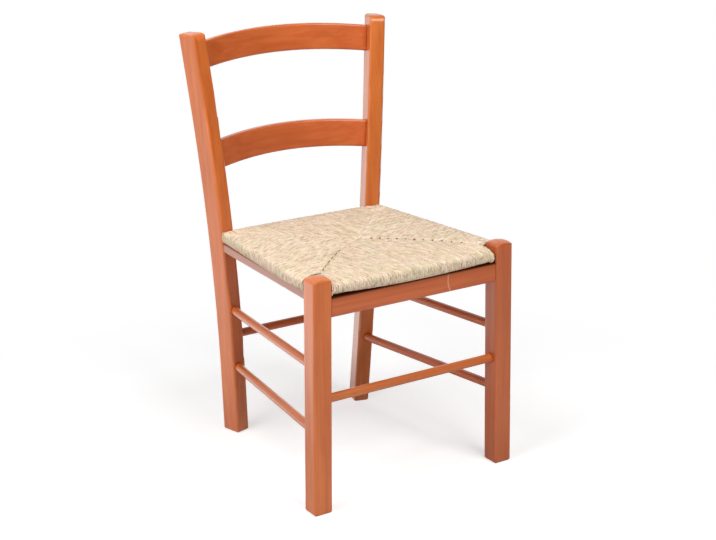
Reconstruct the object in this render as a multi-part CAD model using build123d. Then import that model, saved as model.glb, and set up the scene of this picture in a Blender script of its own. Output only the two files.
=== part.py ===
# Rush seat chair. The front is -Y, left is -X and the floor is at Z = 0. Lengths are in millimetres and
# angles in degrees. While the pieces are made, Y = 0 is the plane of the front legs' front faces; they are
# centred on the floor when they are written.
import os
from math import atan2, cos, degrees, hypot, radians, sin, tan

from build123d import *

# Front legs: square, a little closer together at the top, with a crown that stands above the seat
LEG_SIDE = 40.0
LEG_HEIGHT = 479.5
LEG_SPREAD_FLOOR = 437.4
LEG_SPREAD_TOP = 423.7
LEG_CROWN_RADIUS = 60.0
LEG_CROWN_SIDE_ROUND = 10.0
LEG_CROWN_END_ROUND = 8.0
LEG_CROWN_TRIM = 0.3
LEG_EDGE = 4.5

# Rear posts: one long bend from the lower stretchers to above the seat, flared and turned inwards in plan
POST_WIDTH = 34.0
POST_DEPTH = 45.5
POST_HEIGHT = 876.5
POST_SPREAD_FLOOR = 319.8
POST_SPREAD_TOP = 442.8
POST_BACK_FLOOR = 465.3
POST_BACK_BEND = 441.8
POST_BACK_TOP = 480.1
BEND_HEIGHT = 437.9
BEND_REACH = 315.0
POST_TURN = 15.6
POST_CROWN_SIDE_ROUND = 9.0
POST_CROWN_FRONT_ROUND = 15.0
POST_CROWN_BACK_ROUND = 3.0
POST_CROWN_FALL = 4.0
POST_EDGE = 4.4

# Feet of the legs and posts
FOOT_CHAMFER = 3.0
FOOT_TRIM = 8.0

# Back slats
SLAT_THICKNESS = 18.0
SLAT_BOW = 21.0
SLAT_EDGE = 4.0
SLAT_BELOW_TOP = 51.6
SLAT_SPACING = 204.3
TOP_SLAT_HEIGHT = 56.3
TOP_SLAT_ARCH = 15.7
TOP_SLAT_SETBACK = 9.0
LOWER_SLAT_HEIGHT = 59.4
LOWER_SLAT_ARCH = 12.3
SLAT_TENON_LENGTH = 20.0
SLAT_TENON_THICKNESS = 10.0
SLAT_SHOULDER = 7.0

# Seat rails, whose tops carry the seat
LEG_ABOVE_SEAT_REST = 39.5
SEAT_REST = LEG_HEIGHT - LEG_ABOVE_SEAT_REST
RAIL_THICKNESS = 20.0
RAIL_EDGE = 4.0
END_RAIL_HEIGHT = 41.0
SIDE_RAIL_HEIGHT = 20.0
FRONT_RAIL_SETBACK = 3.0
FRONT_TENON_LENGTH = 24.0
FRONT_TENON_HEIGHT = 29.0
REAR_RAIL_FORWARD = 9.0
REAR_TENON_LENGTH = 18.0
REAR_TENON_HEIGHT = 14.0
REAR_TENON_LIFT = 4.0
SIDE_RAIL_INSET = 6.5
SIDE_RAIL_SHIFT = 1.0
SIDE_TENON_LENGTH = 18.0
SIDE_TENON_HEIGHT = 12.0
RAIL_TENON_THICKNESS = 9.0

# Stretchers: straight round bars, let into the legs and posts
STRETCHER_DIAMETER = 18.0
STRETCHER_PAST_CENTRE = 2.0
STRETCHER_SHIFT = 5.0
FRONT_STRETCHER_HEIGHT = 231.2
REAR_STRETCHER_DROP = 6.2
UPPER_STRETCHER_RISE = 63.3
UPPER_STRETCHER_FALL = 8.0
LOWER_STRETCHER_DROP = 69.2
LOWER_STRETCHER_FALL = 6.0

# Rush seat: the outline of the woven part, which is flush with the legs and posts at its sides
RUSH_PROUD = 2.0
RUSH_EDGE_HEIGHT = 24.0
RUSH_CROWN = 7.5
RUSH_CORNER_ROUND = 10.0
RUSH_TOP_ROUND = 9.0
RUSH_BOTTOM_ROUND = 7.0
RUSH_WRAP = 5.0
LEG_NOTCH_GAP = 1.0

# Bars inside the rush
FRAME_FRONT_WIDTH = 36.0
FRAME_SIDE_WIDTH = 24.0
FRAME_REAR_WIDTH = 24.0
FRAME_REAR_INSET = 13.0
CORNER_BLOCK_LENGTH = 36.0
CORNER_BLOCK_WIDTH = 35.0
PAD_GAP = 3.0
PAD_INSET = 1.5

# Screws that hold the seat down
SCREW_DIAMETER = 4.0
SCREW_BITE = 11.0
SCREW_HEAD_DIAMETER = 8.0
SCREW_HEAD_HEIGHT = 2.4
SCREW_RECESS_WIDTH = 1.0
SCREW_RECESS_LENGTH = 4.0
SCREW_RECESS_DEPTH = 1.5
SCREW_PLACE_SHARES = (0.2, 0.75)

# Clearances
TENON_GAP = 0.15
TENON_END_GAP = 1.5
SHOULDER_GAP = 0.05
DOWEL_GAP = 0.15
RUSH_GAP = 0.5
SCREW_GAP = 0.1
OVERRUN = 30.0

LEFT = -1
RIGHT = 1
SIDE_NAMES = {LEFT: "left", RIGHT: "right"}
UP = Vector(0, 0, 1)


def leg_axis(side, height):
    """The centre of a front leg at a height."""
    spread = LEG_SPREAD_FLOOR + (LEG_SPREAD_TOP - LEG_SPREAD_FLOOR) * height / LEG_HEIGHT
    return Vector(side * spread / 2, LEG_SIDE / 2, height)


def post_axis(side, height, reach=BEND_REACH):
    """The centre of a rear post at a height; the bend turns it in its own plane, with no reach sharply."""
    lower = (POST_BACK_BEND - POST_BACK_FLOOR) / BEND_HEIGHT
    upper = (POST_BACK_TOP - POST_BACK_BEND) / (POST_HEIGHT - BEND_HEIGHT)
    slope = lower if height < BEND_HEIGHT else upper
    back = POST_BACK_BEND + slope * (height - BEND_HEIGHT)
    within = max(reach - abs(height - BEND_HEIGHT), 0)
    if within:
        back += (upper - lower) * within**2 / (4 * reach)
    chord = POST_BACK_FLOOR + (POST_BACK_TOP - POST_BACK_FLOOR) * height / POST_HEIGHT
    spread = POST_SPREAD_FLOOR + (POST_SPREAD_TOP - POST_SPREAD_FLOOR) * height / POST_HEIGHT
    across = spread / 2 + (back - chord) * tan(radians(POST_TURN))
    return Vector(side * across, back, height)


def arch(width, height, rounds, falls):
    """An upright board on the X axis, with a round and a fall in height for each of its top corners."""
    half = width / 2
    corners_at = [(-half, height - falls[0]), (half, height - falls[1])]
    face = make_face(Polyline((half, 0), (-half, 0), *corners_at, close=True))
    for place, radius in zip(corners_at, rounds):
        corner = face.vertices().sort_by_distance(place)[0]
        face = fillet(corner, radius)
    return face


def crowned_bar(width, depth, length, edge, side_rounds, end_rounds, end_falls=(0, 0)):
    """A bar that stands on XY, its long edges rounded and its top rounded over both ways."""
    bar = extrude(RectangleRounded(width, depth, edge), length)
    across = extrude(Plane.XZ * arch(width, length, side_rounds, (0, 0)), depth / 2, both=True)
    along = extrude(Plane.YZ * arch(depth, length, end_rounds, end_falls), width / 2, both=True)
    return bar & across & along


def cut_foot(upright, chamfer_size):
    """Cuts an upright level with the floor and eases the edge of its foot."""
    upright = split(upright, Plane.XY, Keep.TOP)
    if chamfer_size:
        sole = upright.faces().sort_by(Axis.Z)[0]
        upright = chamfer(sole.edges(), chamfer_size)
    return upright


def leg_plane(side):
    """The plane across a front leg, below the floor."""
    foot = leg_axis(side, -FOOT_TRIM)
    return Plane(origin=foot, x_dir=(1, 0, 0), z_dir=leg_axis(side, LEG_HEIGHT) - foot)


def leg_blank(side, grown=0, spare=0):
    """The square bar of a front leg, grown on its sides and with spare length at its top."""
    length = (leg_axis(side, LEG_HEIGHT) - leg_axis(side, -FOOT_TRIM)).length + spare
    size = LEG_SIDE + 2 * grown
    return leg_plane(side) * extrude(Rectangle(size, size), length)


def front_leg(side, cuts):
    """A front leg, less its mortises and holes."""
    length = (leg_axis(side, LEG_HEIGHT) - leg_axis(side, -FOOT_TRIM)).length
    side_rounds = (LEG_CROWN_SIDE_ROUND, LEG_CROWN_SIDE_ROUND)
    end_rounds = (LEG_CROWN_END_ROUND, LEG_CROWN_END_ROUND)
    bar = crowned_bar(LEG_SIDE, LEG_SIDE, length, LEG_EDGE, side_rounds, end_rounds)
    cap = Pos(0, 0, length - LEG_CROWN_TRIM - LEG_CROWN_RADIUS) * Sphere(LEG_CROWN_RADIUS)
    shaft = extrude(Rectangle(LEG_SIDE, LEG_SIDE), length - LEG_CROWN_RADIUS / 2)
    leg = leg_plane(side) * (bar & (cap + shaft))
    leg = cut_foot(leg, FOOT_CHAMFER)
    for cut in cuts:
        leg -= cut
    return leg


def post_inward(side):
    """The direction square to the plane of a post's bend, towards the middle of the chair."""
    bend = post_axis(side, BEND_HEIGHT, 0)
    lower = bend - post_axis(side, 0, 0)
    upper = post_axis(side, POST_HEIGHT, 0) - bend
    return lower.cross(upper) * side


def post_parts(side):
    """The bent lower path of a post and the planes at its start and at its end."""
    foot = post_axis(side, -FOOT_TRIM, 0)
    bend = post_axis(side, BEND_HEIGHT, 0)
    top = post_axis(side, POST_HEIGHT, 0)
    turning = radians((bend - foot).get_angle(top - bend))
    path = FilletPolyline(foot, bend, top, radius=BEND_REACH / tan(turning / 2))
    lower, arc, upper = path.edges().sort_by(Axis.Z)
    start = Plane(origin=foot, x_dir=post_inward(side), z_dir=bend - foot)
    joint = upper.start_point() if upper.start_point().Z < upper.end_point().Z else upper.end_point()
    end = Plane(origin=joint, x_dir=post_inward(side), z_dir=top - bend)
    return Wire([lower, arc]), start, end, (top - joint).length


def post_stub(side, height, wider=0, deeper=0):
    """The square-edged bar of a rear post about a height, to cut what meets the post there."""
    axis = post_axis(side, height + OVERRUN) - post_axis(side, height - OVERRUN)
    plane = Plane(origin=post_axis(side, height), x_dir=post_inward(side), z_dir=axis)
    section = Rectangle(POST_WIDTH + 2 * wider, POST_DEPTH + 2 * deeper)
    return plane * extrude(section, 2 * OVERRUN, both=True)


def rear_post(side, cuts):
    """A rear post, less its mortises and holes."""
    path, start, end, length = post_parts(side)
    section = RectangleRounded(POST_WIDTH, POST_DEPTH, POST_EDGE)
    side_rounds = (POST_CROWN_SIDE_ROUND, POST_CROWN_SIDE_ROUND)
    front_to_back = (POST_CROWN_FRONT_ROUND, POST_CROWN_BACK_ROUND)
    falls = (POST_CROWN_FALL, 0)
    if side == RIGHT:
        front_to_back = front_to_back[::-1]
        falls = falls[::-1]
    bar = crowned_bar(POST_WIDTH, POST_DEPTH, length, POST_EDGE, side_rounds, front_to_back, falls)
    upper = end * bar
    post = cut_foot(sweep(start * section, path) + upper, FOOT_CHAMFER)
    for cut in cuts:
        post -= cut
    return post


def beam(start, end, width, height, edge=0):
    """A bar between two points with its height kept upright."""
    axis = end - start
    plane = Plane(origin=start, x_dir=UP.cross(axis), z_dir=axis)
    section = RectangleRounded(width, height, edge) if edge else Rectangle(width, height)
    return plane * extrude(section, axis.length)


def dowel(start, end, radius):
    """A round bar whose ends pass two points by the depth that it is let in past their centres."""
    along = (end - start).normalized() * STRETCHER_PAST_CENTRE
    plane = Plane(origin=start - along, z_dir=along)
    return plane * extrude(Circle(radius), (end - start).length + 2 * along.length)


def slat_shapes():
    """The middle, height, arch and setback of each slat, by name."""
    top_middle = POST_HEIGHT - SLAT_BELOW_TOP
    return {
        "top_slat": (top_middle, TOP_SLAT_HEIGHT, TOP_SLAT_ARCH, TOP_SLAT_SETBACK),
        "lower_slat": (top_middle - SLAT_SPACING, LOWER_SLAT_HEIGHT, LOWER_SLAT_ARCH, 0),
    }


def slat_end(middle):
    """How far a slat's end lies from the middle of the chair, and how far back."""
    centre = post_axis(RIGHT, middle)
    half = centre.X - POST_WIDTH / 2 * cos(radians(POST_TURN))
    return half, centre.Y + POST_WIDTH / 2 * sin(radians(POST_TURN))


def curved_board(shape, trim, thickness, reach, edge=0):
    """A slat's board, less a trim from its height: bowed back, arched upwards and tilted with the posts."""
    middle, full_height, arch_rise, setback = shape
    height = full_height - trim
    half, back = slat_end(middle)
    bow = half / sin(radians(SLAT_BOW))
    bow_centre = -half / tan(radians(SLAT_BOW))
    window = Rectangle(2 * (half + reach), 2 * half)
    plan = Pos(0, bow_centre) * (Circle(bow + thickness / 2) - Circle(bow - thickness / 2)) & window
    rise = (half**2 + arch_rise**2) / (2 * arch_rise)
    top = Pos(0, height / 2 + arch_rise - rise) * Circle(rise)
    bottom = Pos(0, -height / 2 + arch_rise - rise) * Circle(rise)
    front = (top - bottom) & window
    board = extrude(plan, half, both=True) & extrude(Plane.XZ * front, half, both=True)
    if edge:
        board = fillet(board.edges().filter_by(lambda line: line.length > half), edge)
    lean = post_axis(RIGHT, middle + full_height / 2) - post_axis(RIGHT, middle - full_height / 2)
    return Pos(0, back + setback, middle) * Rot(-degrees(atan2(lean.Y, lean.Z)), 0, 0) * board


def slat(shape):
    """A slat, cut square to the posts' inner faces, with its tenons."""
    board = curved_board(shape, 0, SLAT_THICKNESS, SLAT_TENON_LENGTH / 2, SLAT_EDGE)
    for side in (LEFT, RIGHT):
        board -= post_stub(side, shape[0], deeper=OVERRUN)
    return board + slat_tenon(shape, 0, 0)


def slat_tenon(shape, gap, end_gap):
    """The thinner board that enters the posts, or with gaps the mortises for it."""
    trim = 2 * SLAT_SHOULDER - 2 * gap
    return curved_board(shape, trim, SLAT_TENON_THICKNESS + 2 * gap, SLAT_TENON_LENGTH + end_gap)


def front_rail_ends():
    """The ends of the front rail's axis, in the centres of the legs."""
    height = SEAT_REST - END_RAIL_HEIGHT / 2
    places = []
    for side in (LEFT, RIGHT):
        centre = leg_axis(side, height)
        places.append(Vector(centre.X, FRONT_RAIL_SETBACK + RAIL_THICKNESS / 2, height))
    return places


def rear_rail_ends():
    """The ends of the rear rail's axis, in the centres of the posts."""
    height = SEAT_REST - END_RAIL_HEIGHT / 2
    places = []
    for side in (LEFT, RIGHT):
        centre = post_axis(side, height)
        places.append(Vector(centre.X, centre.Y - REAR_RAIL_FORWARD, height))
    return places


def side_rail_ends(side):
    """The ends of a side rail's axis, in the leg and in the post."""
    height = SEAT_REST - SIDE_RAIL_HEIGHT / 2
    leg = leg_axis(side, height) - Vector(side * SIDE_RAIL_INSET, 0, 0)
    post = post_axis(side, height) - Vector(side * SIDE_RAIL_SHIFT, 0, 0)
    return leg, post


def front_tenons(gap=0, end_gap=0):
    """The bar of the front rail's two tenons, or with gaps the mortises for it."""
    left, right = front_rail_ends()
    reach = Vector(FRONT_TENON_LENGTH - LEG_SIDE / 2 + end_gap, 0, 0)
    return beam(
        left - reach, right + reach, RAIL_TENON_THICKNESS + 2 * gap, FRONT_TENON_HEIGHT + 2 * gap
    )


def rear_tenons(gap=0, end_gap=0):
    """The bar of the rear rail's two tenons, below those of the side rails, or their mortises."""
    left, right = rear_rail_ends()
    reach = Vector(REAR_TENON_LENGTH - POST_WIDTH / 2 + end_gap, 0, 0)
    drop = (END_RAIL_HEIGHT - REAR_TENON_HEIGHT) / 2 - REAR_TENON_LIFT
    down = Vector(0, 0, -drop)
    return beam(
        left - reach + down,
        right + reach + down,
        RAIL_TENON_THICKNESS + 2 * gap,
        REAR_TENON_HEIGHT + 2 * gap,
    )


def side_tenons(side, gap=0, end_gap=0):
    """The bar of a side rail's two tenons, or with gaps the mortises for it."""
    leg, post = side_rail_ends(side)
    along = (post - leg).normalized()
    start = leg + along * (LEG_SIDE / 2 - SIDE_TENON_LENGTH - end_gap)
    end = post - along * (POST_DEPTH / 2 - SIDE_TENON_LENGTH - end_gap)
    return beam(start, end, RAIL_TENON_THICKNESS + 2 * gap, SIDE_TENON_HEIGHT + 2 * gap)


def front_rail():
    """The deep rail between the front legs."""
    rail = beam(*front_rail_ends(), RAIL_THICKNESS, END_RAIL_HEIGHT, RAIL_EDGE)
    for side in (LEFT, RIGHT):
        rail -= leg_blank(side)
    return rail + front_tenons()


def rear_rail():
    """The rail between the rear posts."""
    rail = beam(*rear_rail_ends(), RAIL_THICKNESS, END_RAIL_HEIGHT, RAIL_EDGE)
    for side in (LEFT, RIGHT):
        rail -= post_stub(side, SEAT_REST - END_RAIL_HEIGHT / 2, deeper=OVERRUN)
    return rail + rear_tenons()


def side_rail(side, holes):
    """A thin rail from a front leg to a rear post."""
    rail = beam(*side_rail_ends(side), RAIL_THICKNESS, SIDE_RAIL_HEIGHT, RAIL_EDGE)
    rail -= leg_blank(side)
    rail -= post_stub(side, SEAT_REST - SIDE_RAIL_HEIGHT / 2, OVERRUN, SHOULDER_GAP)
    rail += side_tenons(side)
    for hole in holes:
        rail -= hole
    return rail


def stretcher_ends():
    """The ends of each stretcher's axis, by the stretcher's name."""
    level = FRONT_STRETCHER_HEIGHT
    rear_level = level - REAR_STRETCHER_DROP
    upper = level + UPPER_STRETCHER_RISE
    lower = level - LOWER_STRETCHER_DROP
    ends = {
        "front_stretcher": (leg_axis(LEFT, level), leg_axis(RIGHT, level)),
        "rear_stretcher": (post_axis(LEFT, rear_level), post_axis(RIGHT, rear_level)),
    }
    for side, name in SIDE_NAMES.items():
        shift = Vector(side * STRETCHER_SHIFT, 0, 0)
        ends[f"{name}_upper_stretcher"] = (
            leg_axis(side, upper),
            post_axis(side, upper - UPPER_STRETCHER_FALL) - shift,
        )
        ends[f"{name}_lower_stretcher"] = (
            leg_axis(side, lower),
            post_axis(side, lower - LOWER_STRETCHER_FALL) - shift,
        )
    return ends


def slab(outline, bottom, top):
    """A level board with the given corners."""
    face = make_face(Polyline(*outline, close=True))
    return Pos(0, 0, bottom) * extrude(face, top - bottom)


def rush_middle():
    """The height of the rush's middle."""
    return SEAT_REST + RUSH_EDGE_HEIGHT / 2


def rush_rear():
    """Where the rush ends, in line with the posts' inner front edges."""
    back = post_axis(RIGHT, rush_middle()).Y
    return back - POST_DEPTH / 2 * cos(radians(POST_TURN)) + POST_WIDTH / 2 * sin(radians(POST_TURN))


def rush_half_width(back, inset=0):
    """Half the rush's width at a distance from the front, less an inset from its slanting side."""
    front_half = leg_axis(RIGHT, rush_middle()).X + LEG_SIDE / 2
    rear_half = post_axis(RIGHT, rush_middle()).X
    rear_half += POST_WIDTH / 2 * cos(radians(POST_TURN)) - POST_DEPTH / 2 * sin(radians(POST_TURN))
    share = (back - LEG_SIDE) / (rush_rear() - LEG_SIDE)
    return front_half + (rear_half - front_half) * share - inset


def notch_inner_face():
    """How far the rush's notch for a front leg lies from the middle."""
    return leg_axis(RIGHT, rush_middle()).X - LEG_SIDE / 2 - LEG_NOTCH_GAP


def rush_outline():
    """The crowned cushion of rush, before it is fitted to the legs and the frame."""
    front, rear = -RUSH_PROUD, rush_rear()
    near, far = rush_half_width(front), rush_half_width(rear)
    top = SEAT_REST + RUSH_EDGE_HEIGHT + RUSH_CROWN
    cushion = slab([(-near, front), (near, front), (far, rear), (-far, rear)], SEAT_REST, top)
    cushion = fillet(cushion.edges().filter_by(Axis.Z), RUSH_CORNER_ROUND)
    reach = hypot(near, (rear - front) / 2)
    radius = (reach**2 + RUSH_CROWN**2) / (2 * RUSH_CROWN)
    cushion &= Pos(0, (front + rear) / 2, top - radius) * Rot(90, 0, 0) * Sphere(radius)
    cushion = fillet(cushion.faces().sort_by(Axis.Z)[-1].edges(), RUSH_TOP_ROUND)
    return fillet(cushion.faces().sort_by(Axis.Z)[0].edges(), RUSH_BOTTOM_ROUND)


def frame_levels():
    """The underside and the top of the bars inside the rush."""
    return SEAT_REST + RUSH_WRAP, SEAT_REST + RUSH_EDGE_HEIGHT - RUSH_WRAP


def corners(inner, outer, front, back):
    """The corners of a rectangle on the floor plan."""
    return [(inner, front), (outer, front), (outer, back), (inner, back)]


def frame_front_span():
    """The front and the rear face of the frame's front bar, and half its length."""
    front = RUSH_WRAP - RUSH_PROUD
    half = notch_inner_face() - RUSH_WRAP
    return front, front + FRAME_FRONT_WIDTH, half


def frame_rear_span():
    """The front and the rear face of the frame's rear bar."""
    rear = rush_rear() - FRAME_REAR_INSET
    return rear - FRAME_REAR_WIDTH, rear


def frame_side_outline(side):
    """The corners of a side bar of the frame."""
    first = LEG_SIDE + LEG_NOTCH_GAP + RUSH_WRAP
    last = frame_rear_span()[1]
    outer = RUSH_WRAP
    inner = RUSH_WRAP + FRAME_SIDE_WIDTH
    return [
        (side * rush_half_width(first, inner), first),
        (side * rush_half_width(first, outer), first),
        (side * rush_half_width(last, outer), last),
        (side * rush_half_width(last, inner), last),
    ]


def corner_block(side):
    """A block that joins the front bar to a side bar behind a front leg."""
    bottom, top = frame_levels()
    front_back, half = frame_front_span()[1:]
    back = front_back + CORNER_BLOCK_LENGTH
    behind_leg = LEG_SIDE + LEG_NOTCH_GAP + RUSH_WRAP
    inner = half - CORNER_BLOCK_WIDTH
    inset = RUSH_WRAP + FRAME_SIDE_WIDTH
    outline = [
        (side * inner, front_back),
        (side * half, front_back),
        (side * half, behind_leg),
        (side * rush_half_width(behind_leg, inset), behind_leg),
        (side * rush_half_width(back, inset), back),
        (side * inner, back),
    ]
    return slab(outline, bottom, top)


def seat_frame():
    """The four bars and the two corner blocks that the rush is wound on, by name."""
    bottom, top = frame_levels()
    middle = (bottom + top) / 2
    front, front_back, half = frame_front_span()
    rear_front, rear_back = frame_rear_span()
    near = rush_half_width(rear_front, RUSH_WRAP)
    far = rush_half_width(rear_back, RUSH_WRAP)
    rear = [(-near, rear_front), (near, rear_front), (far, rear_back), (-far, rear_back)]
    bars = {
        "seat_frame_front": slab(corners(-half, half, front, front_back), bottom, top),
        "seat_frame_rear": slab(rear, bottom, top),
    }
    lap = corners(-near, near, rear_front, rear_back)
    for side, name in SIDE_NAMES.items():
        outline = frame_side_outline(side)
        bars[f"seat_frame_{name}"] = slab(outline, bottom, top) - slab(lap, middle, top)
        bars["seat_frame_rear"] -= slab(outline, bottom, middle)
        bars[f"seat_corner_block_{name}"] = corner_block(side)
    return bars


def stuffing():
    """Four pads between the bars, parted along the lines where the rush's layers meet."""
    bottom, top = frame_levels()
    front, half = frame_front_span()[1:]
    rear = frame_rear_span()[0]
    inset = RUSH_WRAP + FRAME_SIDE_WIDTH
    near, far = rush_half_width(front, inset), rush_half_width(rear, inset)
    centre = (0, (front + rear) / 2)
    ring = [(-near, front), (near, front), (far, rear), (-far, rear)]
    pads = []
    for first, last in zip(ring, ring[1:] + ring[:1]):
        face = make_face(Polyline(first, last, centre, close=True))
        face = offset(face, -PAD_GAP, kind=Kind.INTERSECTION)
        pad = Pos(0, 0, bottom + PAD_INSET) * extrude(face, top - bottom - 2 * PAD_INSET)
        for side in (LEFT, RIGHT):
            inner = half - CORNER_BLOCK_WIDTH - PAD_GAP
            back = front + CORNER_BLOCK_LENGTH + PAD_GAP
            around_block = corners(side * inner, side * near, front, back)
            pad -= slab(around_block, bottom, top)
        pads.append(pad)
    return pads


def screw_places():
    """Where the seat screws enter the side rails, below both the rail and the bar above it, by side."""
    places = {}
    for side in (LEFT, RIGHT):
        leg, post = side_rail_ends(side)
        places[side] = []
        for share in SCREW_PLACE_SHARES:
            place = leg + (post - leg) * share
            bar_middle = rush_half_width(place.Y, RUSH_WRAP + FRAME_SIDE_WIDTH / 2)
            across = (side * bar_middle + place.X) / 2
            places[side].append(Vector(across, place.Y, SEAT_REST - SIDE_RAIL_HEIGHT))
    return places


def screw(place, gap=0):
    """A countersunk wood screw that points up from its place, or with a gap the hole for it."""
    radius = SCREW_DIAMETER / 2 + gap
    head = SCREW_HEAD_DIAMETER / 2 + gap
    length = SIDE_RAIL_HEIGHT + RUSH_WRAP + SCREW_BITE
    from_below = (Align.CENTER, Align.CENTER, Align.MIN)
    shape = Cylinder(radius, length + gap, align=from_below)
    shape += Cone(head, radius, SCREW_HEAD_HEIGHT, align=from_below)
    if not gap:
        for slot_length, slot_width in (
            (SCREW_RECESS_LENGTH, SCREW_RECESS_WIDTH),
            (SCREW_RECESS_WIDTH, SCREW_RECESS_LENGTH),
        ):
            shape -= Box(slot_length, slot_width, SCREW_RECESS_DEPTH, align=from_below)
    return Pos(place) * shape


def rush_seat(bars, pads, holes):
    """The rush: the cushion, open round the legs and posts and filled by its frame."""
    seat = rush_outline()
    low = SEAT_REST - OVERRUN
    high = SEAT_REST + RUSH_EDGE_HEIGHT + OVERRUN
    back = LEG_SIDE + LEG_NOTCH_GAP
    for side in (LEFT, RIGHT):
        outer = rush_half_width(-OVERRUN) + OVERRUN
        notch = corners(side * notch_inner_face(), side * outer, -OVERRUN, back)
        seat -= slab(notch, low, high)
        seat -= post_stub(side, rush_middle(), wider=RUSH_GAP, deeper=RUSH_GAP)
    for inner_piece in [*bars.values(), *pads, *holes]:
        seat -= inner_piece
    return seat


def make_chair():
    """Every piece of the chair, by name."""
    pieces = {}
    screws = {}
    holes = {}
    for side, places in screw_places().items():
        screws[side] = [screw(place) for place in places]
        holes[side] = [screw(place, SCREW_GAP) for place in places]
    all_holes = holes[LEFT] + holes[RIGHT]

    radius = STRETCHER_DIAMETER / 2
    sockets = []
    for name, (start, end) in stretcher_ends().items():
        pieces[name] = dowel(start, end, radius)
        sockets.append(dowel(start, end, radius + DOWEL_GAP))

    slat_mortises = []
    for name, shape in slat_shapes().items():
        pieces[name] = slat(shape)
        slat_mortises.append(slat_tenon(shape, TENON_GAP, TENON_END_GAP))

    pieces["front_seat_rail"] = front_rail()
    pieces["rear_seat_rail"] = rear_rail()
    front_mortises = front_tenons(TENON_GAP, TENON_END_GAP)
    rear_mortises = rear_tenons(TENON_GAP, TENON_END_GAP)
    for side, name in SIDE_NAMES.items():
        pieces[f"side_seat_rail_{name}"] = side_rail(side, holes[side])
        side_mortises = side_tenons(side, TENON_GAP, TENON_END_GAP)
        pieces[f"front_leg_{name}"] = front_leg(side, [front_mortises, side_mortises, *sockets])
        post_cuts = [rear_mortises, side_mortises, *slat_mortises, *sockets]
        pieces[f"rear_post_{name}"] = rear_post(side, post_cuts)

    bars = seat_frame()
    pads = stuffing()
    pieces["rush_seat"] = rush_seat(bars, pads, all_holes)
    for name, bar in bars.items():
        for hole in all_holes:
            bar -= hole
        pieces[name] = bar
    pieces["seat_stuffing"] = Compound([pad.solid() for pad in pads])
    all_screws = screws[LEFT] + screws[RIGHT]
    pieces["seat_screws"] = Compound([one.solid() for one in all_screws])
    return pieces


def write_pieces(pieces):
    """Centres the chair on the floor and writes each piece."""
    os.makedirs("parts", exist_ok=True)
    boxes = [piece.bounding_box() for piece in pieces.values()]
    middle_x = (min(box.min.X for box in boxes) + max(box.max.X for box in boxes)) / 2
    middle_y = (min(box.min.Y for box in boxes) + max(box.max.Y for box in boxes)) / 2
    place = Location((-middle_x, -middle_y, 0))
    for name, piece in pieces.items():
        solids = [solid.moved(place) for solid in piece.solids()]
        export_step(Compound(solids), f"parts/{name}.step")
    print(f"front face of the legs at Y = {-middle_y:.3f}")


write_pieces(make_chair())
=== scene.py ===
# Rush seat chair: the looks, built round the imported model. The front is -Y, up is +Z, metres.
import math
import random

import bmesh
import bpy
from mathutils import Matrix, Vector


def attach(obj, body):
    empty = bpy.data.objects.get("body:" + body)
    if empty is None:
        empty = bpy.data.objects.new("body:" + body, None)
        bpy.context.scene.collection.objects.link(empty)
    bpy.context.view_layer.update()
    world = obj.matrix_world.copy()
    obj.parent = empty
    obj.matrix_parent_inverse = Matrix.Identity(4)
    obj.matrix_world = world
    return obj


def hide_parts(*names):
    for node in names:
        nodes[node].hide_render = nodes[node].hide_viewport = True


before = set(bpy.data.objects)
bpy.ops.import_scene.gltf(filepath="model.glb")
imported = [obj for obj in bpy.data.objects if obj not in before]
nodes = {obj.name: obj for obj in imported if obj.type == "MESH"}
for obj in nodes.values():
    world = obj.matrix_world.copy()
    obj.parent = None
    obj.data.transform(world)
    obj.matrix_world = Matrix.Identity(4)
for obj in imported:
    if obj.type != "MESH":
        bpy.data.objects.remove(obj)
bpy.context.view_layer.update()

legs_front = min(vertex.co.y for vertex in nodes["front_leg_left"].data.vertices)
bpy.context.scene.view_settings.view_transform = "Standard"


# Camera: a long lens in front of the chair, to its left and a little above the seat, slightly rolled.
# It looks at a point inside the chair; the shift puts the photograph's centre of view in place.
camera_azimuth = math.radians(-32.4511)
camera_elevation = math.radians(17.6231)
camera_roll = math.radians(-0.6096)
camera_distance = 3.13893
camera_target = Vector((0.0027424, 0.2258638 + legs_front, 0.4014166))
camera_shift = (0.003675, -0.001161)
nearest_seen = 0.05
sensor_width = 36
lens_pixels = 1529.33
picture_width = 716

away = Vector((
    math.sin(camera_azimuth) * math.cos(camera_elevation),
    -math.cos(camera_azimuth) * math.cos(camera_elevation),
    math.sin(camera_elevation),
))
level_right = (-away).cross(Vector((0, 0, 1))).normalized()
level_up = level_right.cross(-away)
right = math.cos(camera_roll) * level_right + math.sin(camera_roll) * level_up
up = math.cos(camera_roll) * level_up - math.sin(camera_roll) * level_right
camera_data = bpy.data.cameras.new("camera")
camera_data.sensor_width = sensor_width
camera_data.lens = lens_pixels * sensor_width / picture_width
camera_data.shift_x, camera_data.shift_y = camera_shift
camera_data.clip_start = nearest_seen
camera = bpy.data.objects.new("camera", camera_data)
camera.matrix_world = Matrix((
    (right.x, up.x, away.x, 0),
    (right.y, up.y, away.y, 0),
    (right.z, up.z, away.z, 0),
    (0, 0, 0, 1),
))
camera.location = camera_target + camera_distance * away
bpy.context.scene.collection.objects.link(camera)
bpy.context.scene.camera = camera


# Floor: a plain pale studio floor of matt paper that fades into a white surround. The camera sees it
# white but for the chair's soft shadow, and the lacquer reflects it as white behind the chair.
floor_size = 60
white = (1, 1, 1, 1)
reflected_from, reflected_full = 0.0, 0.6
shadow_reach, all_white = 0.62, 1.0


def srgb(hex_colour):
    """A colour written as six hex digits, as the linear colour that a shader takes."""
    channels = [int(hex_colour[i:i + 2], 16) / 255 for i in (0, 2, 4)]
    return [c / 12.92 if c < 0.04045 else ((c + 0.055) / 1.055) ** 2.4 for c in channels] + [1]


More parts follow.
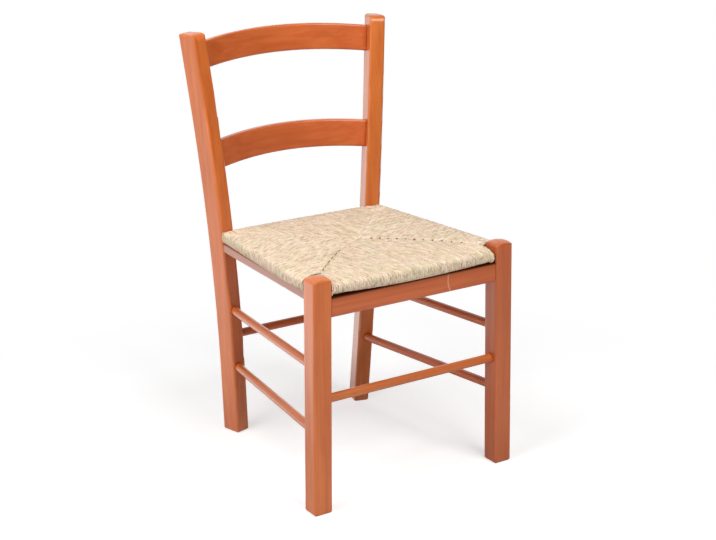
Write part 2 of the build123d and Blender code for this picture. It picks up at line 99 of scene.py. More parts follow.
def add_node(owner, kind, inputs=None, stops=(), **settings):
    """Adds a shader node to a material or to the world.

    inputs maps a socket's name or number to a value or to another socket; stops are the positions
    and colours of a colour ramp, from its low end to its high end.
    """
    node = owner.node_tree.nodes.new(kind)
    for name, value in settings.items():
        setattr(node, name, value)
    for name, value in (inputs or {}).items():
        if isinstance(value, bpy.types.NodeSocket):
            owner.node_tree.links.new(value, node.inputs[name])
        else:
            node.inputs[name].default_value = value
    if stops:
        ramp = node.color_ramp.elements
        ramp[0].position, ramp[0].color = stops[0]
        ramp[1].position, ramp[1].color = stops[-1]
        for position, colour in stops[1:-1]:
            ramp.new(position).color = colour
    return node


def new_material(name):
    """An empty node material."""
    material = bpy.data.materials.new(name)
    material.use_nodes = True
    material.node_tree.nodes.clear()
    return material


# Matt paper, which gives an even, pale floor and throws soft light back up at the chair.
paper = new_material("pale studio paper")
paper_coords = add_node(paper, "ShaderNodeTexCoord")
paper_path = add_node(paper, "ShaderNodeLightPath")
paper_diffuse = add_node(paper, "ShaderNodeBsdfDiffuse", {"Color": srgb("e6e6e6")})
paper_place = add_node(paper, "ShaderNodeSeparateXYZ", {0: paper_coords.outputs["Object"]})
paper_behind = add_node(paper, "ShaderNodeMapRange", {
    "Value": paper_place.outputs["Y"], "From Min": reflected_from, "From Max": reflected_full,
    "To Min": 0.0, "To Max": 1.5,
})
paper_shine = add_node(paper, "ShaderNodeMath", {
    0: paper_path.outputs["Is Glossy Ray"], 1: paper_behind.outputs[0],
}, operation="MULTIPLY")
paper_glow = add_node(paper, "ShaderNodeEmission", {"Color": white, "Strength": paper_shine.outputs[0]})
paper_lit = add_node(paper, "ShaderNodeAddShader", {0: paper_diffuse.outputs[0], 1: paper_glow.outputs[0]})
# The camera sees a lifted paper that keeps the chair's shadow, and further out plain white.
paper_lift = add_node(paper, "ShaderNodeEmission", {"Color": white, "Strength": 0.62})
paper_dimmed = add_node(paper, "ShaderNodeBsdfDiffuse", {"Color": srgb("cecece")})
paper_seen = add_node(paper, "ShaderNodeAddShader", {0: paper_dimmed.outputs[0], 1: paper_lift.outputs[0]})
paper_far = add_node(paper, "ShaderNodeVectorMath", {0: paper_coords.outputs["Object"]}, operation="LENGTH")
paper_fade = add_node(paper, "ShaderNodeMapRange", {
    "Value": paper_far.outputs["Value"], "From Min": shadow_reach, "From Max": all_white,
})
paper_white = add_node(paper, "ShaderNodeEmission", {"Color": white, "Strength": 1.0})
paper_view = add_node(paper, "ShaderNodeMixShader", {
    "Fac": paper_fade.outputs[0], 1: paper_seen.outputs[0], 2: paper_white.outputs[0],
})
paper_mix = add_node(paper, "ShaderNodeMixShader", {
    "Fac": paper_path.outputs["Is Camera Ray"], 1: paper_lit.outputs[0], 2: paper_view.outputs[0],
})
add_node(paper, "ShaderNodeOutputMaterial", {"Surface": paper_mix.outputs[0]})

floor_bm = bmesh.new()
bmesh.ops.create_grid(floor_bm, x_segments=1, y_segments=1, size=floor_size / 2)
floor_mesh = bpy.data.meshes.new("floor")
floor_bm.to_mesh(floor_mesh)
floor_bm.free()
floor_mesh.materials.append(paper)
floor = bpy.data.objects.new("floor", floor_mesh)
bpy.context.scene.collection.objects.link(floor)


# Light: soft panels high in front, high on the left and low on the left, in a dim room. The camera
# sees the room as white, and the lacquer reflects it as white behind the chair.
dim_light = 0.03
world = bpy.data.worlds.new("pale room")
world.use_nodes = True
world.node_tree.nodes.clear()
room_path = add_node(world, "ShaderNodeLightPath")
room_coords = add_node(world, "ShaderNodeTexCoord")
room_place = add_node(world, "ShaderNodeSeparateXYZ", {0: room_coords.outputs["Generated"]})
room_behind = add_node(world, "ShaderNodeMapRange", {
    "Value": room_place.outputs["Y"], "From Min": 0.0, "From Max": 0.5,
})
room_shine = add_node(world, "ShaderNodeMath", {
    0: room_path.outputs["Is Glossy Ray"], 1: room_behind.outputs[0], 2: dim_light,
}, operation="MULTIPLY_ADD")
room_light = add_node(world, "ShaderNodeBackground", {"Color": white, "Strength": room_shine.outputs[0]})
room_white = add_node(world, "ShaderNodeBackground", {"Color": white, "Strength": 1.0})
room_seen = add_node(world, "ShaderNodeMath", {
    0: room_path.outputs["Is Camera Ray"], 1: room_path.outputs["Is Transmission Ray"],
}, operation="MAXIMUM")
room_mix = add_node(world, "ShaderNodeMixShader", {
    "Fac": room_seen.outputs[0], 1: room_light.outputs[0], 2: room_white.outputs[0],
})
add_node(world, "ShaderNodeOutputWorld", {"Surface": room_mix.outputs[0]})
bpy.context.scene.world = world

lamps = (
    ("high_left_panel", (-1.1, -0.1, 2.3), 1.2, 26.5),
    ("high_front_panel", (0.3, -2.3, 2.9), 1.6, 73),
    ("low_left_panel", (-3.1, -0.8, 1.3), 1.6, 27.5),
)
lit_point = Vector((0, 0, 0.4))
for lamp_name, lamp_place, lamp_size, lamp_power in lamps:
    lamp_data = bpy.data.lights.new(lamp_name, "AREA")
    lamp_data.shape = "SQUARE"
    lamp_data.size = lamp_size
    lamp_data.energy = lamp_power
    lamp = bpy.data.objects.new(lamp_name, lamp_data)
    lamp.location = lamp_place
    lamp.rotation_euler = (lit_point - lamp.location).to_track_quat("-Z", "Y").to_euler()
    bpy.context.scene.collection.objects.link(lamp)


# Chair frame: legs, posts, rails, slats and stretchers of beech, sawn or turned, sanded round at the
# edges and glued into each other. The wood is stained orange cherry and lacquered to a satin. The
# grain runs along each piece.
lacquer = 0.35


def stained_beech(name, turn, offset, painted_light_tint):
    """Satin lacquered, stained beech whose grain runs along Z once the coordinates are turned.

    The stain gives an orange brown. Beech's own grain is too fine to show, so it is drawn as bands
    10 mm wide and 200 mm long, with flecks 1 mm wide and 8 mm long. Patches 110 mm wide took more or
    less of the stain. The edges are sanded to a radius of 4.5 mm.
    """
    material = new_material(name)
    coords = add_node(material, "ShaderNodeTexCoord")
    mapping = add_node(material, "ShaderNodeMapping", {
        "Vector": coords.outputs["Object"], "Location": offset, "Rotation": turn,
    })

    def wood_noise(per_metre, detail, roughness, distortion):
        """Noise stretched along the grain; per_metre says how often it changes across and along it."""
        stretched = add_node(material, "ShaderNodeMapping", {
            "Vector": mapping.outputs[0], "Scale": per_metre,
        })
        return add_node(material, "ShaderNodeTexNoise", {
            "Vector": stretched.outputs[0], "Scale": 1.0, "Detail": detail, "Roughness": roughness,
            "Distortion": distortion,
        }).outputs["Fac"]

    grain = wood_noise((95, 95, 5), 5.0, 0.55, 0.4)
    flecks = wood_noise((900, 900, 130), 2.0, 0.5, 0.0)
    patches = wood_noise((9, 9, 3), 2.0, 0.5, 0.0)
    # Painted light and shade: the stain made lighter or darker by the piece's tint.
    dark_stain, light_stain = (
        [c * factor for c, factor in zip(srgb(stain)[:3], painted_light_tint)] + [1] for stain in ("c25a25", "d46d37")
    )
    grain_colour = add_node(material, "ShaderNodeValToRGB", {"Fac": grain}, stops=(
        (0.3, dark_stain), (0.72, light_stain),
    ))
    fleck_level = add_node(material, "ShaderNodeMapRange", {
        "Value": flecks, "From Min": 0.62, "From Max": 0.78, "To Min": 0.0, "To Max": 0.3,
    })
    flecked = add_node(material, "ShaderNodeMix", {
        "Factor": fleck_level.outputs[0], "A": grain_colour.outputs[0], "B": srgb("9c4420"),
    }, data_type="RGBA")
    patch_level = add_node(material, "ShaderNodeMapRange", {
        "Value": patches, "From Min": 0.3, "From Max": 0.7, "To Min": 0.92, "To Max": 1.08,
    })
    toned = add_node(material, "ShaderNodeMix", {
        "Factor": 1.0, "A": flecked.outputs["Result"], "B": patch_level.outputs[0],
    }, data_type="RGBA", blend_type="MULTIPLY")
    soft_edges = add_node(material, "ShaderNodeBevel", {"Radius": 0.0045}, samples=6)
    bump = add_node(material, "ShaderNodeBump", {
        "Height": grain, "Strength": 0.06, "Distance": 0.0006, "Normal": soft_edges.outputs[0],
    })
    shader = add_node(material, "ShaderNodeBsdfPrincipled", {
        "Base Color": toned.outputs["Result"], "Roughness": 0.36, "Normal": bump.outputs[0],
        "Coat Weight": lacquer, "Coat Roughness": 0.18,
    })
    add_node(material, "ShaderNodeOutputMaterial", {"Surface": shader.outputs[0]})
    return material, coords, toned, shader


quarter = math.pi / 2
grain_turns = {"z": (0, 0, 0), "x": (0, quarter, 0), "y": (quarter, 0, 0)}
frame_pieces = {
    "front_leg_left": "z", "front_leg_right": "z", "rear_post_left": "z", "rear_post_right": "z",
    "top_slat": "x", "lower_slat": "x", "front_seat_rail": "x", "rear_seat_rail": "x",
    "side_seat_rail_left": "y", "side_seat_rail_right": "y", "front_stretcher": "x",
    "rear_stretcher": "x", "left_upper_stretcher": "y", "left_lower_stretcher": "y",
    "right_upper_stretcher": "y", "right_lower_stretcher": "y",
}
# Painted light and shade on each piece: its red, green and blue against the plain stain, lighter on
# the pieces lit from the left and front, darker on the right front leg and the side rails, in shade.
painted_light_tints = {
    "front_leg_left": (1.13, 1.27, 1.08), "front_leg_right": (0.93, 0.97, 0.98),
    "rear_post_left": (1.13, 1.25, 1.0), "rear_post_right": (1.05, 1.24, 0.95),
    "side_seat_rail_left": (0.68, 0.76, 0.7), "side_seat_rail_right": (0.68, 0.76, 0.7),
    "front_stretcher": (1.06, 1.22, 1.06),
    "left_upper_stretcher": (1.02, 1.15, 1.08), "left_lower_stretcher": (1.04, 1.17, 1.06),
}
for number, (piece_name, grain_axis) in enumerate(frame_pieces.items()):
    piece_offset = (0.37 * number, 0.61 * number, 0.23 * number)
    beech, beech_coords, beech_tone, beech_shader = stained_beech(
        f"cherry stained beech {piece_name}", grain_turns[grain_axis], piece_offset,
        painted_light_tints.get(piece_name, (1, 1, 1)),
    )
    nodes[piece_name].data.materials.clear()
    nodes[piece_name].data.materials.append(beech)
    if piece_name == "front_seat_rail":
        # A thin pale mark crosses the rail right of its middle, bowed to the left.
        mark_across, mark_middle, mark_bow = 0.0755, 0.424, 11.0
        rail_xyz = add_node(beech, "ShaderNodeSeparateXYZ", {0: beech_coords.outputs["Object"]})
        mark_up = add_node(beech, "ShaderNodeMath", {
            0: rail_xyz.outputs["Z"], 1: mark_middle,
        }, operation="SUBTRACT")
        mark_square = add_node(beech, "ShaderNodeMath", {
            0: mark_up.outputs[0], 1: mark_up.outputs[0],
        }, operation="MULTIPLY")
        mark_line = add_node(beech, "ShaderNodeMath", {
            0: mark_square.outputs[0], 1: mark_bow, 2: mark_across,
        }, operation="MULTIPLY_ADD")
        mark_off = add_node(beech, "ShaderNodeMath", {
            0: rail_xyz.outputs["X"], 1: mark_line.outputs[0],
        }, operation="SUBTRACT")
        mark_far = add_node(beech, "ShaderNodeMath", {0: mark_off.outputs[0]}, operation="ABSOLUTE")
        mark_level = add_node(beech, "ShaderNodeMapRange", {
            "Value": mark_far.outputs[0], "From Min": 0.0004, "From Max": 0.0024,
            "To Min": 0.6, "To Max": 0.0,
        })
        marked = add_node(beech, "ShaderNodeMix", {
            "Factor": mark_level.outputs[0], "A": beech_tone.outputs["Result"], "B": srgb("efb184"),
        }, data_type="RGBA")
        # Painted shade: under the rush the rail's top is painted nearly black and its lacquer dulled,
        # where the roll's shadow falls.
        rail_shade_low, rail_shade_high = 0.424, 0.44
        rail_shade_rise = add_node(beech, "ShaderNodeMapRange", {
            "Value": rail_xyz.outputs["Z"], "From Min": rail_shade_low, "From Max": rail_shade_high,
        })
        rail_shade_level = add_node(beech, "ShaderNodeValToRGB", {"Fac": rail_shade_rise.outputs[0]}, stops=(
            (0.0, (0, 0, 0, 1)), (0.66, (0.25, 0.25, 0.25, 1)), (0.88, (0.95, 0.95, 0.95, 1)),
        ))
        rail_shaded = add_node(beech, "ShaderNodeMix", {
            "Factor": rail_shade_level.outputs[0], "A": marked.outputs["Result"], "B": srgb("2a0a00"),
        }, data_type="RGBA")
        beech.node_tree.links.new(rail_shaded.outputs["Result"], beech_shader.inputs["Base Color"])
        # Painted shade also takes the sheen of the lacquer and of the wood off the rail's top.
        for layer, full in (("Coat Weight", lacquer), ("Specular IOR Level", 0.5)):
            shade_dulled = add_node(beech, "ShaderNodeMapRange", {
                "Value": rail_shade_level.outputs[0], "To Min": full, "To Max": 0.0,
            })
            beech.node_tree.links.new(shade_dulled.outputs[0], beech_shader.inputs[layer])


# Rush seat: twisted cords of pale rush, wound over the bars from all four sides. The cords of each side
# run in to a mitre, where they dip under those of the next side; the underside is wound the same way.
# Lengths here are in millimetres from the plane of the legs' front faces.
random.seed(41)
seat_front, seat_middle, seat_rear = -2.0, 215.5, 435.8
half_width, narrowing, overhang, corner_radius = 232.2, 35.9, 0.8, 10
leg_thickness = 40
edge_top, edge_bottom, underside = 465.3, 440.6, 440.3
crown_height, crown_reach = 6.4, 219
puffs, puff_spread = ((-200, 50, 8.0), (178, 32, 10.5)), 700
mitre_bow, mitre_tries = 0.45, 8
cord_pitch, cord_radius, edge_round = 4.6, 2.7, 9.5
top_step, under_step = 16, 42


def seat_half(back):
    """Half the seat's width at a distance from the front; its rear corners are rounded."""
    half = half_width - narrowing * (back - leg_thickness) / (seat_rear - leg_thickness)
    into_corner = min(max(back - seat_rear + corner_radius, 0), corner_radius)
    return half + overhang - corner_radius + math.sqrt(corner_radius**2 - into_corner**2)


def seat_top(across, back):
    """The height of the seat's top: a low crown, puffed up beside the front legs."""
    rise = 1 - min(abs(across) / seat_half(back), 1) ** 2
    rise *= 1 - min(abs(back - seat_middle) / crown_reach, 1) ** 2
    top = edge_top + crown_height * rise**0.6
    for puff_across, puff_back, puff_height in puffs:
        off_square = (across - puff_across) ** 2 + (back - puff_back) ** 2
        top += puff_height * math.exp(-off_square / puff_spread)
    return top


def side_share(across, back):
    """How far in from the side a point lies: 0 at the edge and 1 in the middle."""
    return max(1 - abs(across) / seat_half(back), 0)


def front_mitre(across):
    """Where the front cords end; the mitre bows back a little on its way in."""
    back = 100
    for _ in range(mitre_tries):
        share = side_share(across, back)
        way_in = min((1 + mitre_bow) * share - mitre_bow * share**2, 1)
        back = seat_front + (seat_middle - seat_front) * way_in
    return back


def rear_mitre(across):
    """Where the rear cords end."""
    back = 330
    for _ in range(mitre_tries):
        back = seat_rear - (seat_rear - seat_middle) * side_share(across, back)
    return back


def side_mitre(back):
    """How far from the middle the side cords end."""
    if back > seat_middle:
        share = (seat_rear - back) / (seat_rear - seat_middle)
    else:
        way_in = (back - seat_front) / (seat_middle - seat_front)
        root = math.sqrt(max((1 + mitre_bow) ** 2 - 4 * mitre_bow * way_in, 0))
        share = (1 + mitre_bow - root) / (2 * mitre_bow)
    return seat_half(back) * (1 - min(share, 1))


def beside_hole(place, hole_places):
    """Whether a cord is the one nearest to a hole of the front right mitre."""
    return any(abs(place - hole_place) <= cord_pitch / 2 for hole_place in hole_places)


def cord_line(inner, outer, height, bottom, undercut):
    """Points of a cord from its mitre out along the top, round the edge and back along the underside."""
    way = 1 if outer > inner else -1
    radius = cord_radius * random.uniform(0.9, 1.12)
    lift = random.uniform(-0.4, 0.5)
    turn = outer - way * edge_round
    points = [
        (inner + way * out, height(inner) - radius - sunk)
        for out, sunk in ((-3, 3.6), (1, 2.2), (4.5, 0.3))
    ]
    stops = max(int(abs(turn - inner) / top_step), 1)
    for stop in range(1, stops):
        place = inner + (turn - inner) * stop / stops
        points.append((place, height(place) - radius + lift + random.uniform(-0.45, 0.45)))
    high, low = height(turn) - radius + lift, bottom + radius
    for degrees in (90, 66, 42, 16, -16, -42, -66, -90):
        angle = math.radians(degrees)
        reach = (edge_round - radius) * math.cos(angle) ** 0.55 - undercut * min(math.sin(angle), 0) ** 2
        rise = math.copysign(abs(math.sin(angle)) ** 0.75, angle)
        points.append((turn + way * reach, (high + low) / 2 + (high - low) / 2 * rise))
    under = underside + radius
    stops = max(int(abs(turn - inner) / under_step), 1)
    for stop in range(stops - 1, 0, -1):
        points.append((inner + (turn - inner) * stop / stops, under + random.uniform(-0.1, 0.1)))
    points += [(inner + way * 3, under + 0.2), (inner - way * 3, under + 1.6)]
    return points, radius


def add_cord(curve, points, radius):
    """Adds a cord through points given in millimetres."""
    spline = curve.splines.new("POLY")
    spline.points.add(len(points) - 1)
    for knot, (across, back, height) in zip(spline.points, points):
        knot.co = (across / 1000, legs_front + back / 1000, height / 1000, 1)
        knot.radius = radius * random.uniform(0.92, 1.08)


def wander():
    """How far a cord strays sideways at one point."""
    return random.uniform(-0.55, 0.55)


def new_cords(name):
    """An empty curve for one side's cords, six-sided in section, with radii in millimetres."""
    curve = bpy.data.curves.new(name, "CURVE")
    curve.dimensions = "3D"
    curve.bevel_depth = 0.001
    curve.bevel_resolution = 1
    curve.use_fill_caps = True
    return curve


def finish_cords(curve, material):
    """Turns a side's cords into one mesh piece of the rush seat."""
    rope = bpy.data.objects.new(curve.name + "_curve", curve)
    mesh = bpy.data.meshes.new_from_object(rope)
    mesh.name = curve.name
    mesh.materials.clear()
    mesh.materials.append(material)
    for polygon in mesh.polygons:
        polygon.use_smooth = True
    piece = bpy.data.objects.new(curve.name, mesh)
    bpy.context.scene.collection.objects.link(piece)
    bpy.data.objects.remove(rope)
    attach(piece, "root")
    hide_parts("rush_seat")


def rush_straw(name, side_by_side, along, first, twist):
    """Pale dried rush, twisted into cords and left matt.

    The cords lie side by side on one axis, the first at a place in metres, and run along another.
    Each has its own tone. Streaks 9 mm long, brown to cream, lean with the twist, over stretches of
    24 mm with a greener or a redder hue and broad tints 35 mm wide. Single strands, 3.5 mm long, stand
    out of the surface.
    """
    material = new_material(name)
    coords = add_node(material, "ShaderNodeTexCoord")
    parts = add_node(material, "ShaderNodeSeparateXYZ", {0: coords.outputs["Object"]})
    shifted = add_node(material, "ShaderNodeMath", {
        0: parts.outputs[side_by_side], 1: first,
    }, operation="SUBTRACT")
    steps = add_node(material, "ShaderNodeMath", {
        0: shifted.outputs[0], 1: cord_pitch / 1000,
    }, operation="DIVIDE")
    number = add_node(material, "ShaderNodeMath", {0: steps.outputs[0]}, operation="ROUND")
    around = add_node(material, "ShaderNodeMath", {
        0: steps.outputs[0], 1: number.outputs[0],
    }, operation="SUBTRACT")
    own_tone = add_node(material, "ShaderNodeTexWhiteNoise", {"W": number.outputs[0]}, noise_dimensions="1D")

    def cord_noise(length, lean, spread, detail):
        """Noise that runs along each cord in streaks of a length, slanted by the cord's twist."""
        rise = add_node(material, "ShaderNodeMath", {
            0: parts.outputs["Z"], 1: 1 / length,
        }, operation="MULTIPLY")
        run = add_node(material, "ShaderNodeMath", {
            0: parts.outputs[along], 1: 1 / length,
        }, operation="MULTIPLY")
        slant = add_node(material, "ShaderNodeMath", {
            0: around.outputs[0], 1: lean, 2: run.outputs[0],
        }, operation="MULTIPLY_ADD")
        place = add_node(material, "ShaderNodeMath", {0: number.outputs[0], 1: spread}, operation="MULTIPLY")
        vector = add_node(material, "ShaderNodeCombineXYZ", {
            0: place.outputs[0], 1: slant.outputs[0], 2: rise.outputs[0],
        })
        return add_node(material, "ShaderNodeTexNoise", {
            "Vector": vector.outputs[0], "Scale": 1.0, "Detail": detail, "Roughness": 0.6,
        }).outputs["Fac"]

    streaks = cord_noise(0.009, twist, 7.3, 2.5)
    stretches = cord_noise(0.024, 0.5 * twist, 3.7, 2.0)
    strands = cord_noise(0.0035, 1.6 * twist, 5.1, 1.0)
    straw = add_node(material, "ShaderNodeValToRGB", {"Fac": streaks}, stops=(
        (0.30, srgb("94704e")), (0.42, srgb("d8bd9b")), (0.53, srgb("f1dbc2")), (0.67, srgb("fff4e2")),
    ))
    hue = add_node(material, "ShaderNodeValToRGB", {"Fac": stretches}, stops=(
        (0.36, srgb("cbc2a6")), (0.5, srgb("f2e4cc")), (0.64, srgb("f3cfb8")),
    ))
    tinted = add_node(material, "ShaderNodeMix", {
        "Factor": 0.34, "A": straw.outputs[0], "B": hue.outputs[0],
    }, data_type="RGBA")
    broad = add_node(material, "ShaderNodeTexNoise", {
        "Vector": coords.outputs["Object"], "Scale": 28.0, "Detail": 1.5, "Roughness": 0.6,
    })
    cast = add_node(material, "ShaderNodeValToRGB", {"Fac": broad.outputs["Fac"]}, stops=(
        (0.36, srgb("f8faf3")), (0.64, srgb("fffbfe")),
    ))
    cast_over = add_node(material, "ShaderNodeMix", {
        "Factor": 1.0, "A": tinted.outputs["Result"], "B": cast.outputs[0],
    }, data_type="RGBA", blend_type="MULTIPLY")
    level = add_node(material, "ShaderNodeMapRange", {
        "Value": own_tone.outputs["Value"], "To Min": 0.94, "To Max": 1.07,
    })
    toned = add_node(material, "ShaderNodeMix", {
        "Factor": 1.0, "A": cast_over.outputs["Result"], "B": level.outputs[0],
    }, data_type="RGBA", blend_type="MULTIPLY")
    bump = add_node(material, "ShaderNodeBump", {"Height": strands, "Strength": 0.6, "Distance": 0.0008})
    shader = add_node(material, "ShaderNodeBsdfPrincipled", {
        "Base Color": toned.outputs["Result"], "Roughness": 0.72, "Normal": bump.outputs[0],
    })
    add_node(material, "ShaderNodeOutputMaterial", {"Surface": shader.outputs[0]})
    return material


# Front cords. Those beside a hole of the right mitre end short of it, the outer ones lie higher under
# the edge, and the last ones sink beside the right leg.
first_hole, hole_spacing, hole_count, hole_depth = 26, 13.8, 11, 5.5
hole_columns = [first_hole + hole_spacing * step for step in range(hole_count)]
hole_rows = [front_mitre(column) for column in hole_columns]
front_cords = new_cords("rush_front")
first_front, last_front = -187.6, 176.0
front_edge, front_bottom, last_drop = -7.2, 439.7, 5.0
for count in range(int((last_front - first_front) / cord_pitch) + 1):
    across = first_front + count * cord_pitch
    drop = last_drop * math.exp(-abs(last_front - across) / 5)
    hole = hole_depth if beside_hole(across, hole_columns) else 0
    corner_lift = 7.3 if across < 0 else 5.0
    line, radius = cord_line(
        front_mitre(across) - hole,
        front_edge + 3.0 * (across / 190) ** 2,
        lambda back: seat_top(across, back) - drop,
        front_bottom + corner_lift * (across / 188) ** 2,
        undercut=0.4,
    )
    add_cord(front_cords, [(across + wander(), back, height) for back, height in line], radius)
finish_cords(front_cords, rush_straw("twisted rush front", "X", "Y", first_front / 1000, 1.7))

# Rear cords. Their edge draws in a little towards the posts.
rear_cords = new_cords("rush_rear")
first_rear, rear_count = -193.2, 85
for count in range(rear_count):
    across = first_rear + count * cord_pitch
    line, radius = cord_line(
        rear_mitre(across),
        seat_rear + 0.4 - max(abs(across) - 162, 0) * 0.3,
        lambda back: seat_top(across, back),
        edge_bottom,
        undercut=0.5,
    )
    add_cord(rear_cords, [(across + wander(), back, height) for back, height in line], radius)
finish_cords(rear_cords, rush_straw("twisted rush rear", "X", "Y", first_rear / 1000, 1.7))

# Side cords, and one more round the inner corner of each front leg, which lies deeper and thicker on
# the right; below that one a filler cord closes the gap. The front ones rise under the edge.
first_side, side_count, filler_radius = 49.8, 83, 3.4
side_fittings = {"left": (-1, -1.5, 190.3, 1.6, 1), "right": (1, 4, 179.8, 2.5, -4.5)}
for side_name, (side, sunk, beside, thickness, front) in side_fittings.items():
    side_cords = new_cords("rush_" + side_name)
    for count in range(side_count):
        back = first_side + count * cord_pitch
        hole = hole_depth if side > 0 and beside_hole(back, hole_rows) else 0
        line, radius = cord_line(
            side_mitre(back) + hole,
            seat_half(back),
            lambda across: seat_top(side * across, back),
            edge_bottom + 6.0 * max((158 - back) / 113, 0) ** 1.5,
            undercut=0.5,
        )
        add_cord(side_cords, [(side * across, back + wander(), height) for across, height in line], radius)
    leg_cord = (
        (beside, 5, 443), (beside, front + 2, 446.5), (beside, front, 455 - sunk / 2),
        (beside, front + 2.5, 463 - sunk), (beside, 8, 468.5 - sunk), (beside, 24, 471.5 - sunk),
        (beside, 36, 472.5 - sunk), (191.6, 42.3, 472 - sunk), (198, 44, 471 - sunk),
        (212, 44, 470 - sunk), (222, 44, 467.5 - sunk), (228.4, 44, 462 - sunk / 2),
        (229.6, 44, 455), (229, 44, 447.5), (225, 44, 443.2),
    )
    add_cord(side_cords, [(side * x, y, z) for x, y, z in leg_cord], thickness)
    if side > 0:
        filler_cord = (
            (185.6, 8, 443), (185.6, 3, 449), (185.6, 5, 456), (185.6, 20, 460), (185.6, 41, 461),
            (192, 46, 461),
        )
        add_cord(side_cords, filler_cord, filler_radius)
    finish_cords(side_cords, rush_straw(
        "twisted rush " + side_name, "Y", "X", legs_front + first_side / 1000, -1.2,
    ))


# Painted shade in the hollows between the rush cords, where one looks down into the seat: dark
# cords laid as dots along the front right mitre, strokes along the front left one, and the gap
# behind the cord round the left leg.
dot_sunk, dot_radius = 1.5, 1.3
stroke_sunk, stroke_radius = 1.7, 1.0
gap_radius = 1.2
strokes = ((-164, 7), (-150, 10), (-133, 12), (-112, 8), (-96, 12), (-78, 8))

# Painted shade in the rush's hollows: dull brown, mottled with patches 3 mm wide.
hollow = new_material("painted shade in the rush")
hollow_coords = add_node(hollow, "ShaderNodeTexCoord")
hollow_noise = add_node(hollow, "ShaderNodeTexNoise", {
    "Vector": hollow_coords.outputs["Object"], "Scale": 300.0, "Detail": 2.0,
})
hollow_shade_colour = add_node(hollow, "ShaderNodeValToRGB", {"Fac": hollow_noise.outputs["Fac"]}, stops=(
    (0.35, srgb("5c4028")), (0.65, srgb("9c7c5a")),
))
hollow_shader = add_node(hollow, "ShaderNodeBsdfPrincipled", {
    "Base Color": hollow_shade_colour.outputs[0], "Roughness": 0.9,
})
add_node(hollow, "ShaderNodeOutputMaterial", {"Surface": hollow_shader.outputs[0]})

painted_shade_cords = new_cords("rush_painted_shade")
for column, row in zip(hole_columns, hole_rows):
    level = seat_top(column, row) - dot_sunk
    dot = [(column - 1.2, row - 0.6, level), (column, row, level), (column + 1.2, row + 0.6, level)]
    add_cord(painted_shade_cords, dot, dot_radius)
for column, length in strokes:
    ends = [(at, front_mitre(at)) for at in (column, column + length / 2, column + length)]
    add_cord(painted_shade_cords, [(at, row, seat_top(at, row) - stroke_sunk) for at, row in ends], stroke_radius)
leg_gap = (
    (187.6, 20, 468.3), (187.6, 38, 472.4), (190, 45.5, 474.3), (198, 47.2, 474.1), (212, 47.2, 472.7),
    (222, 47.2, 470), (229, 47.2, 463.5),
)
add_cord(painted_shade_cords, [(-x, y, z) for x, y, z in leg_gap], gap_radius)
finish_cords(painted_shade_cords, hollow)


# Inside the seat: plain beech bars and blocks that the rush is wound on, pads of straw packed between
# its layers, and zinc plated screws that hold the bars down on the side rails.
def plain_wood(name, turn, offset):
    """Raw planed beech, pale and dry, its grain along Z once the coordinates are turned.

    The grain is drawn as bands 4.5 mm wide and 80 mm long, coarser than the real one, so that it shows.
    """
    material = new_material(name)
    coords = add_node(material, "ShaderNodeTexCoord")
    mapping = add_node(material, "ShaderNodeMapping", {
        "Vector": coords.outputs["Object"], "Location": offset, "Rotation": turn,
    })
    stretched = add_node(material, "ShaderNodeMapping", {
        "Vector": mapping.outputs[0], "Scale": (220, 220, 12),
    })
    grain = add_node(material, "ShaderNodeTexNoise", {
        "Vector": stretched.outputs[0], "Scale": 1.0, "Detail": 4.0, "Roughness": 0.6,
    })
    colour = add_node(material, "ShaderNodeValToRGB", {"Fac": grain.outputs["Fac"]}, stops=(
        (0.3, srgb("c9a77c")), (0.7, srgb("dfc39a")),
    ))
    bump = add_node(material, "ShaderNodeBump", {
        "Height": grain.outputs["Fac"], "Strength": 0.2, "Distance": 0.0005,
    })
    shader = add_node(material, "ShaderNodeBsdfPrincipled", {
        "Base Color": colour.outputs[0], "Roughness": 0.62, "Normal": bump.outputs[0],
    })
    add_node(material, "ShaderNodeOutputMaterial", {"Surface": shader.outputs[0]})
    return material


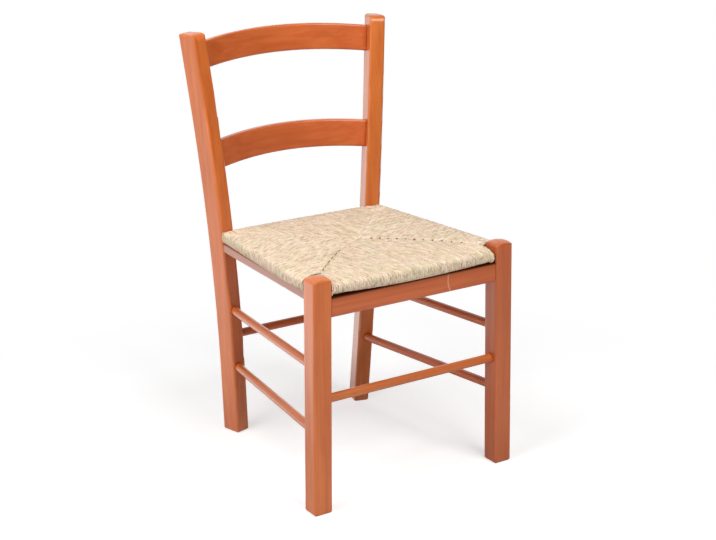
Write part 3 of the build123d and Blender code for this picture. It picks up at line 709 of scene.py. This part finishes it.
inner_pieces = {
    "seat_frame_front": "x", "seat_frame_rear": "x", "seat_frame_left": "y", "seat_frame_right": "y",
    "seat_corner_block_left": "y", "seat_corner_block_right": "y",
}
for number, (piece_name, grain_axis) in enumerate(inner_pieces.items()):
    nodes[piece_name].data.materials.clear()
    nodes[piece_name].data.materials.append(
        plain_wood("raw beech " + piece_name, grain_turns[grain_axis], (0.4 * number, 0.7 * number, 0.2))
    )

# Straw, cut and packed dry: yellow and brown stalks about 2.5 mm thick and 17 mm long.
straw = new_material("packed straw")
straw_coords = add_node(straw, "ShaderNodeTexCoord")
straw_map = add_node(straw, "ShaderNodeMapping", {
    "Vector": straw_coords.outputs["Object"], "Scale": (60, 400, 400),
})
straw_noise = add_node(straw, "ShaderNodeTexNoise", {
    "Vector": straw_map.outputs[0], "Scale": 1.0, "Detail": 3.0, "Roughness": 0.6, "Distortion": 1.0,
})
straw_colour = add_node(straw, "ShaderNodeValToRGB", {"Fac": straw_noise.outputs["Fac"]}, stops=(
    (0.35, srgb("8d7347")), (0.65, srgb("cdb482")),
))
straw_bump = add_node(straw, "ShaderNodeBump", {
    "Height": straw_noise.outputs["Fac"], "Strength": 0.8, "Distance": 0.002,
})
straw_shader = add_node(straw, "ShaderNodeBsdfPrincipled", {
    "Base Color": straw_colour.outputs[0], "Roughness": 0.85, "Normal": straw_bump.outputs[0],
})
add_node(straw, "ShaderNodeOutputMaterial", {"Surface": straw_shader.outputs[0]})

# Steel plated with zinc: a bright grey metal, a little duller from place to place.
zinc = new_material("zinc plated steel")
zinc_coords = add_node(zinc, "ShaderNodeTexCoord")
zinc_noise = add_node(zinc, "ShaderNodeTexNoise", {
    "Vector": zinc_coords.outputs["Object"], "Scale": 900.0, "Detail": 2.0,
})
zinc_rough = add_node(zinc, "ShaderNodeMapRange", {
    "Value": zinc_noise.outputs["Fac"], "To Min": 0.25, "To Max": 0.42,
})
zinc_shader = add_node(zinc, "ShaderNodeBsdfPrincipled", {
    "Base Color": srgb("c4c6c4"), "Metallic": 1.0, "Roughness": zinc_rough.outputs[0],
})
add_node(zinc, "ShaderNodeOutputMaterial", {"Surface": zinc_shader.outputs[0]})
for piece_name, material in (("seat_stuffing", straw), ("seat_screws", zinc)):
    nodes[piece_name].data.materials.clear()
    nodes[piece_name].data.materials.append(material)
